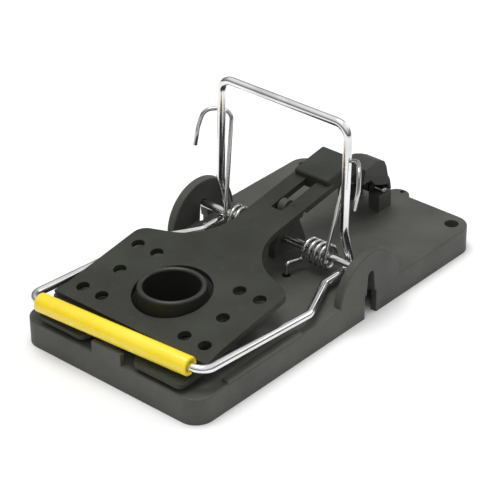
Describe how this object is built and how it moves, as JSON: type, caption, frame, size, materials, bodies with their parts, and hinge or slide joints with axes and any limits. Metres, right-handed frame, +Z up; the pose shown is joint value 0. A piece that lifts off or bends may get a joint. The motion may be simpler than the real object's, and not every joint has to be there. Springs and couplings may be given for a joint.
{
  "type": "snap mouse trap",
  "caption": "Plastic snap mouse trap with a wire kill bow in a yellow sleeve, a setting bow, two torsion springs, a holed treadle, a bait cup and a rear catch.",
  "frame": {"origin": "centre of the base's rectangular footprint, on the surface that the base stands on", "axes": "+X to the trap's right, +Y to the rear (catch) end, +Z up"},
  "size_m": [0.07, 0.1326, 0.0611],
  "materials": {
    "base_plastic": "fine matt moulded texture, charcoal",
    "cup_plastic": "satin moulded, charcoal",
    "treadle_plastic": "fine matt moulded texture, charcoal",
    "catch_plastic": "fine matt moulded texture, charcoal",
    "sleeve_plastic": "glossy extruded tube, yellow",
    "striker_steel": "bright plated drawn wire",
    "spring_steel": "bright plated spring wire",
    "axle_steel": "plated drawn rod",
    "pin_steel": "plated pin"
  },
  "bodies": {
    "base": {"base": "base_plastic", "bait_cup": "cup_plastic", "axle_rod": "axle_steel", "catch_pin": "pin_steel", "left_spring": "spring_steel", "right_spring": "spring_steel"},
    "treadle": {"treadle": "treadle_plastic", "treadle_pivot_pin": "pin_steel"},
    "striker": {"striker_wire": "striker_steel", "striker_sleeve": "sleeve_plastic"},
    "catch": {"catch_lever": "catch_plastic"}
  },
  "joints": [
    {"name": "striker_swing", "type": "hinge", "parent": "base", "child": "striker", "pos_m": [0, 0.012, 0.0142], "axis": [1, 0, 0], "range_deg": [-82, 0], "stiffness_Nm_per_rad": 0.3, "springref_deg": 34.38, "deforming": ["left_spring", "right_spring"]},
    {"name": "treadle_tip", "type": "hinge", "parent": "base", "child": "treadle", "pos_m": [0, 0.0142, 0.0236], "axis": [1, 0, 0], "range_deg": [-6, 0]},
    {"name": "catch_swing", "type": "hinge", "parent": "base", "child": "catch", "pos_m": [0, 0.0532, 0.0152], "axis": [1, 0, 0], "range_deg": [-15, 0]}
  ],
  "couplings": [
    {"joint": "treadle_tip", "follows": "striker_swing", "ratio": 0.073}
  ]
}
